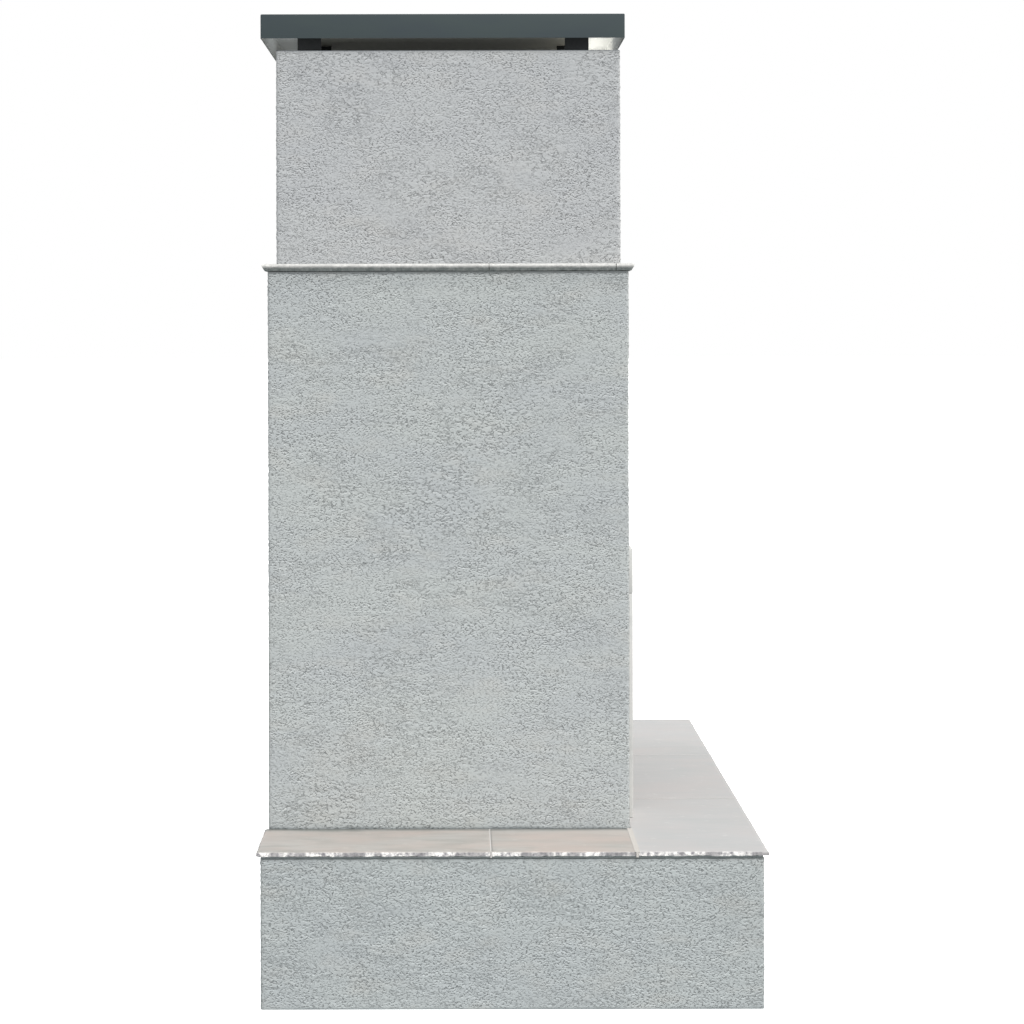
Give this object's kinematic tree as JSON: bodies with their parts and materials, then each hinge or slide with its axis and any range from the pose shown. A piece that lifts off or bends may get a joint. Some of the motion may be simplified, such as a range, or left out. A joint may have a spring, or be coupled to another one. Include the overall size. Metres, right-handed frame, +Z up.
{
  "type": "outdoor fireplace",
  "caption": "Free-standing outdoor fireplace: tiled hearth base, stuccoed body with an open firebox and gas logs, mantel ledge, chimney and raised metal cap.",
  "frame": {"origin": "on the ground, under the middle of the part's box", "axes": "+Z up, -Y out of the front of the firebox, +X to the right of someone who looks at its front"},
  "size_m": [1.524, 1.0972, 2.14],
  "materials": {
    "stucco": "knockdown stucco, matt",
    "chimney_stucco": "knockdown stucco, matt",
    "stone_tile": "stone-look porcelain tile, satin, edges split rough",
    "mantel_tile": "stone-look porcelain tile, satin, edges split rough",
    "grout": "sanded grout and mortar",
    "cement_board": "cement board",
    "galvanised_steel": "galvanised",
    "black_steel": "matt black heat-proof paint",
    "firebrick": "cast refractory in a brick pattern",
    "cap_paint": "satin slate paint",
    "leg_paint": "matt black paint",
    "cast_iron": "as cast",
    "stainless_steel": "mill finish",
    "ceramic_log": "moulded bark, painted",
    "brass": "machined",
    "black_plastic": "moulded",
    "red_plastic": "moulded"
  },
  "bodies": {
    "fireplace": {"base_deck": "cement_board", "base_frame": "galvanised_steel", "base_shell": "stucco", "body_frame": "galvanised_steel", "body_shell": "stucco", "burner_pan": "stainless_steel", "burner_tube": "stainless_steel", "cap_leg_front_left": "leg_paint", "cap_leg_front_right": "leg_paint", "cap_leg_rear_left": "leg_paint", "cap_leg_rear_right": "leg_paint", "cap_tray": "cap_paint", "chase_top": "galvanised_steel", "chimney_frame": "galvanised_steel", "chimney_shell": "chimney_stucco", "chimney_sill": "cement_board", "control_bracket": "stainless_steel", "damper_frame": "cast_iron", "firebox_shell": "black_steel", "firebrick_back": "firebrick", "firebrick_floor": "firebrick", "firebrick_left": "firebrick", "firebrick_right": "firebrick", "flue_pipe": "stainless_steel", "gas_pipe": "galvanised_steel", "gas_valve": "brass", "hearth_bed": "grout", "hearth_tile_left": "stone_tile", "hearth_tile_middle": "stone_tile", "hearth_tile_right": "stone_tile", "igniter_body": "black_plastic", "ledge_tile_left_front": "stone_tile", "ledge_tile_left_rear": "stone_tile", "ledge_tile_right_front": "stone_tile", "ledge_tile_right_rear": "stone_tile", "log_front": "ceramic_log", "log_grate": "cast_iron", "log_left": "ceramic_log", "log_middle": "ceramic_log", "log_rear": "ceramic_log", "log_right": "ceramic_log", "mantel_board": "cement_board", "mantel_strip_left": "mantel_tile", "mantel_strip_middle": "mantel_tile", "mantel_strip_rear": "mantel_tile", "mantel_strip_right": "mantel_tile", "mantel_tile_left_front": "mantel_tile", "mantel_tile_left_rear": "mantel_tile", "mantel_tile_right_front": "mantel_tile", "mantel_tile_right_rear": "mantel_tile", "smoke_dome": "black_steel", "surround_header_left": "stone_tile", "surround_header_right": "stone_tile", "surround_leg_left": "stone_tile", "surround_leg_right": "stone_tile"},
    "damper": {"damper_plate": "cast_iron", "damper_handle": "cast_iron"},
    "spindle": {"valve_spindle": "brass"},
    "knob": {"gas_knob": "black_plastic"},
    "button": {"igniter_button": "red_plastic"}
  },
  "joints": [
    {"name": "damper_hinge", "type": "hinge", "parent": "fireplace", "child": "damper", "pos_m": [0, 0.0897, 0.9527], "axis": [-1, 0, 0], "range_deg": [0, 75]},
    {"name": "spindle_push", "type": "slide", "parent": "fireplace", "child": "spindle", "axis": [0, 1, 0], "range_m": [0, 0.004], "stiffness_N_per_m": 600, "springref_m": -0.004},
    {"name": "knob_turn", "type": "hinge", "parent": "spindle", "child": "knob", "pos_m": [0.248, -0.2083, 0.3654], "axis": [0, -1, 0], "range_deg": [0, 120]},
    {"name": "button_push", "type": "slide", "parent": "fireplace", "child": "button", "axis": [0, 1, 0], "range_m": [0, 0.005], "stiffness_N_per_m": 400, "springref_m": -0.004}
  ]
}
